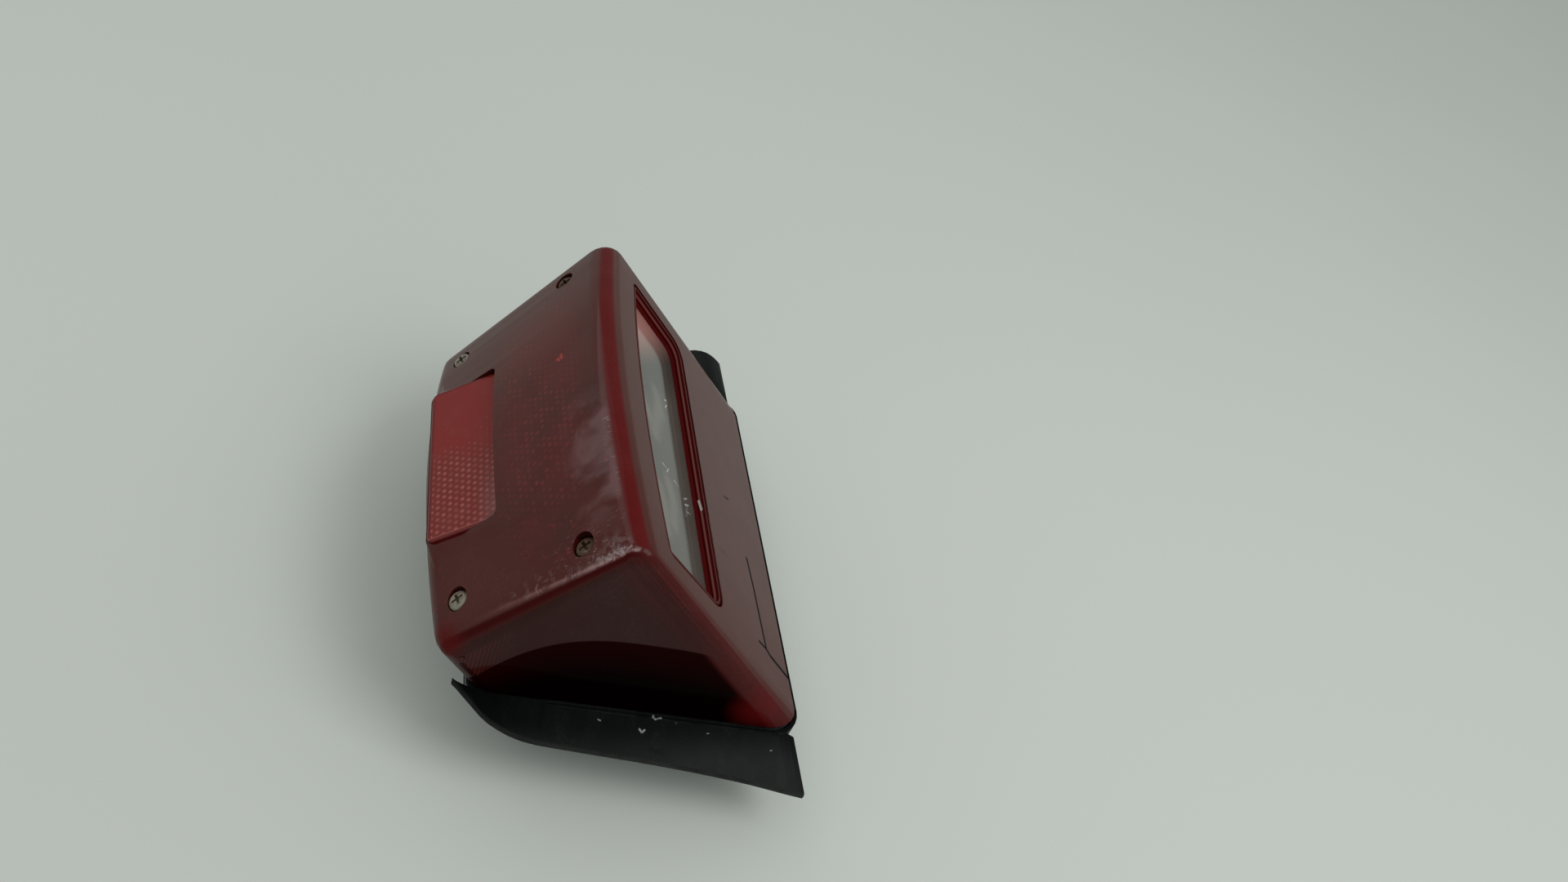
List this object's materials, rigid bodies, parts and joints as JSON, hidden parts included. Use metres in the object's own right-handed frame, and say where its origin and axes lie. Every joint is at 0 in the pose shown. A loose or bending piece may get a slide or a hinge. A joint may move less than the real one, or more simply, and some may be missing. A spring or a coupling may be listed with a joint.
{
  "type": "motorcycle tail light",
  "caption": "Worn motorcycle tail light: cracked red wedge lens with clear plate window, reflex reflector and rusty screws, on a black rubber pad with wings, bolted to a mudguard.",
  "frame": {"origin": "centre of the circle of the three mounting studs, on the face of the rubber pad that meets the mudguard", "axes": "+X to the lamp's right, +Y to its top edge with the reflex reflector, +Z out of the base away from the mudguard"},
  "size_m": [0.2058, 0.1329, 0.1168],
  "materials": {
    "red_lens": "dark red clear moulding, dusty, scuffed and cracked",
    "clear_plastic": "clear moulding, scuffed",
    "red_reflector": "red prism plate",
    "soft_rubber": "moulded black rubber",
    "black_plastic": "black moulding",
    "bright_coating": "bright metal coating on plastic",
    "bright_steel": "plain steel",
    "rusty_steel": "rusty and dirty steel",
    "pad_rubber": "black rubber, weathered and nicked",
    "plated_steel": "dull plated steel",
    "bulb_glass": "clear glass",
    "filament_wire": "thin wire on a glass stem",
    "cap_brass": "plain brass",
    "brown_board": "pressed insulating board"
  },
  "bodies": {
    "root": {"lens": "red_lens", "plate_window": "clear_plastic", "reflex_reflector": "red_reflector", "lens_gasket": "soft_rubber", "housing": "black_plastic", "inner_reflector": "bright_coating", "reflector_screws": "bright_steel", "lens_screws_lower": "rusty_steel", "lens_screws_upper": "rusty_steel", "screw_seals": "soft_rubber", "mount_pad": "pad_rubber", "mounting_studs": "plated_steel", "stud_nuts": "plated_steel", "bulb_glass_left": "bulb_glass", "bulb_filament_left": "filament_wire", "bulb_cap_left": "cap_brass", "bulb_base_left": "black_plastic", "socket_shell_left": "plated_steel", "socket_seal_left": "soft_rubber", "socket_insulator_left": "brown_board", "socket_contacts_left": "cap_brass", "contact_spring_left": "bright_steel", "socket_base_left": "brown_board", "socket_boot_left": "soft_rubber", "bulb_glass_right": "bulb_glass", "bulb_filament_right": "filament_wire", "bulb_cap_right": "cap_brass", "bulb_base_right": "black_plastic", "socket_shell_right": "plated_steel", "socket_seal_right": "soft_rubber", "socket_insulator_right": "brown_board", "socket_contacts_right": "cap_brass", "contact_spring_right": "bright_steel", "socket_base_right": "brown_board", "socket_boot_right": "soft_rubber"}
  },
  "joints": []
}
